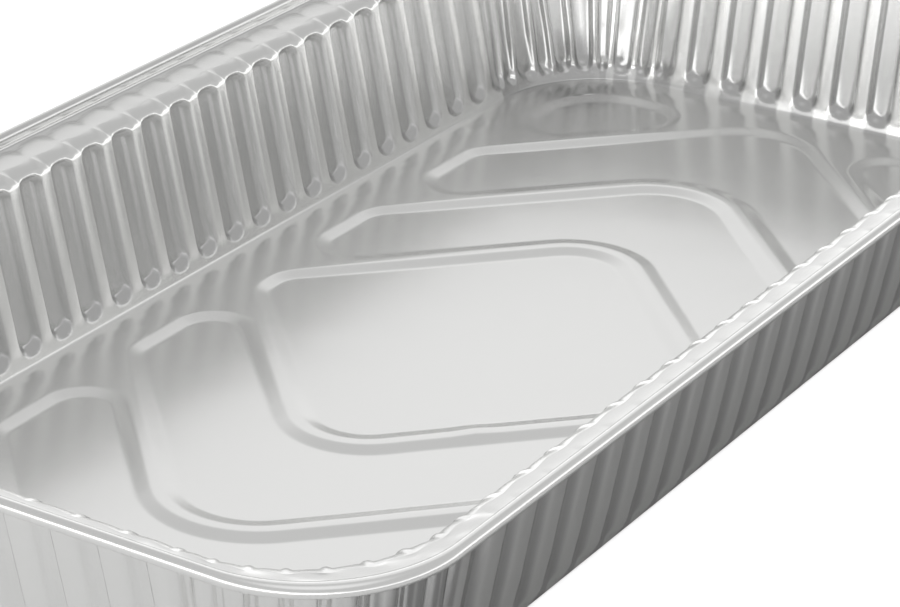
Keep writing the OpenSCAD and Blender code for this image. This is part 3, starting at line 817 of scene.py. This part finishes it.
def wall_shading(col, shade, under):
    """Painted shade of the walls' inner and outer faces: grooves, strips under them and corners inside, the
    channels behind the ridges outside."""
    sideways = facing_sideways(col.place)
    long_wall = ramp(sideways, *LONG_WALL)
    # Painted shade: the outer face is darkened in the channel behind each ridge, most on the long walls
    channel = ramp(col.to_ridge, *CHANNEL_EDGE) * (CHANNEL_SHARE + CHANNEL_GAIN * long_wall)
    channel = channel * ramp(WALL_ROWS, *CHANNEL_TOP)[:, None]
    shade = np.maximum(shade, UNDER_SHARE * under * (1 - long_wall))
    shading = CORNER_SHADE + CORNER_FOOT_SHADE * (1 - ramp(WALL_ROWS[:, None], *CORNER_FOOT))
    return np.maximum(shade, shading * col.corner * ramp(sideways, *SHADED_CORNER)), channel


def rim_shading(shape):
    """Painted shade of the rim's inner face."""
    shading = np.zeros(shape)
    shading[:UPSTAND_ROWS.start] = LEDGE_SHADE
    shading[UPSTAND_ROWS] = UPSTAND_SHADE
    shading[BEAD_ROW] = BEAD_SHADE
    shading[CURL_ROW] = CURL_SHADE
    return shading


def build_pan():
    """The three pieces of the sheet, which meet along the fold and along the ledge's inner edge."""
    col = columns()
    walk, out, z, shade, under = wall_surface(col)
    rim = rim_surface(col, out[-1:])
    near = to_points(*[np.concatenate([w, r]) for w, r in zip((walk, out, z), rim)])
    far = near - FOIL * normals(near)
    slant = math.hypot(FOOT_OUT, FOOT_HEIGHT)
    miter = 1 + FOOT_OUT / slant
    fold_out = np.zeros(near.shape[1]) + FOIL * FOOT_HEIGHT / slant / miter
    far[0] = to_points(walk[0], fold_out, np.full(near.shape[1], -FOIL))
    foil = foil_material()
    ledge = len(WALL_ROWS) - 1
    # Painted shade of both faces of the walls
    inner, outer = wall_shading(col, shade, under)
    finish_piece(sheet_from_grid("pan_walls", near[:ledge + 1], far[:ledge + 1], inner, outer), foil)
    inner = rim_shading(near[ledge:].shape[:2])
    finish_piece(sheet_from_grid("pan_rim", near[ledge:], far[ledge:], inner, np.zeros_like(inner)), foil)
    near_fold, far_fold = near[0].copy(), far[0].copy()
    near_fold[:, 2] -= BED
    far_fold[:, 2] -= BED
    finish_piece(build_base(near_fold, far_fold), foil)


def build_stage():
    """Pale floor under the pan, far wider than the view."""
    mesh = bpy.data.meshes.new("floor")
    s = 6.0
    mesh.from_pydata([(-s, -s, 0), (s, -s, 0), (s, s, 0), (-s, s, 0)], [], [(0, 1, 2, 3)])
    floor = bpy.data.objects.new("floor", mesh)
    bpy.context.scene.collection.objects.link(floor)
    mesh.materials.append(floor_material())


# Surround: direction of the window, 33 degrees round and 25 up, as turn, share across and share up
WINDOW_TURN, WINDOW_ACROSS, WINDOW_UP = math.radians(33), 0.906, 0.423
# Edges of the window as cosines of the turn from its middle, and of horizon and zenith as sines of elevation
WINDOW_EDGE, HORIZON_EDGE, ZENITH_EDGE = (0.9, 0.975), (0.17, 0.34), (0.9, 0.985)
# Brightness of the plain sky, and what the window, the horizon and the zenith add
SKY, WINDOW, HORIZON, ZENITH = 0.55, 0.29, 0.86, 0.32


def light(name, azimuth, elevation, distance, size, power):
    """Area light that looks at the pan from a direction, in degrees anticlockwise from +X and above."""
    data = bpy.data.lights.new(name, "AREA")
    data.shape = "RECTANGLE"
    data.size, data.size_y = size
    data.energy = power
    lamp = bpy.data.objects.new(name, data)
    bpy.context.scene.collection.objects.link(lamp)
    a, e = math.radians(azimuth), math.radians(elevation)
    way = Vector((math.cos(e) * math.cos(a), math.cos(e) * math.sin(a), math.sin(e)))
    lamp.location = way * distance
    lamp.rotation_euler = way.to_track_quat("Z", "Y").to_euler()
    lamp.visible_camera = False
    return lamp


def build_world():
    """Surround that the foil reflects: a bright horizon all round, and a dim sky with a lighter window beyond
    the pan and a lighter zenith, which shows in the base."""
    world = bpy.data.worlds.new("surround")
    world.use_nodes = True
    bench = Bench(world.node_tree)
    across_x, across_y = math.cos(WINDOW_TURN) * WINDOW_ACROSS, math.sin(WINDOW_TURN) * WINDOW_ACROSS
    bright_way = Vector((across_x, across_y, WINDOW_UP))
    way = bench.add("TexCoord", output=0)
    both_ways = {0: way, 1: bright_way}
    towards = bench.add("VectorMath", {"operation": "DOT_PRODUCT"}, output=1, numbered=both_ways)
    height = bench.add("SeparateXYZ", Vector=way, output=2)
    window = bench.between(towards, *WINDOW_EDGE)
    horizon = bench.between(height, *HORIZON_EDGE, low=1.0, high=0.0)
    zenith = bench.between(height, *ZENITH_EDGE)
    level = SKY + WINDOW * (window - window * horizon) + HORIZON * horizon + ZENITH * zenith
    background = world.node_tree.nodes["Background"]
    fill(background.inputs["Strength"], level)
    background.inputs["Color"].default_value = (1, 1, 1, 1)
    bpy.context.scene.world = world


def build_lights():
    """Long low box at the pan's -X end, a small low one beside it towards -Y, and a higher one that lights
    the floor and isn't seen in the foil."""
    light("key_box", azimuth=180, elevation=15, distance=0.75, size=(0.95, 0.13), power=0.56)
    floor_box = light("floor_box", azimuth=140, elevation=45, distance=1.2, size=(0.5, 0.5), power=14)
    floor_box.visible_glossy = False
    light("front_box", azimuth=216, elevation=13, distance=1.2, size=(0.4, 0.2), power=0.28)


def build_camera():
    """Camera at the photograph's place and viewing angle."""
    data = bpy.data.cameras.new("camera")
    data.lens = 127.67
    data.sensor_width = 36.0
    data.clip_start = 0.01
    camera = bpy.data.objects.new("camera", data)
    camera.location = (-0.4909, -0.3146, 0.2802)
    camera.rotation_euler = [math.radians(v) for v in (65.01, 0.0, -56.88)]
    bpy.context.scene.collection.objects.link(camera)
    bpy.context.scene.camera = camera


bpy.context.scene.view_settings.view_transform = "Standard"
build_pan()
build_stage()
build_world()
build_lights()
build_camera()
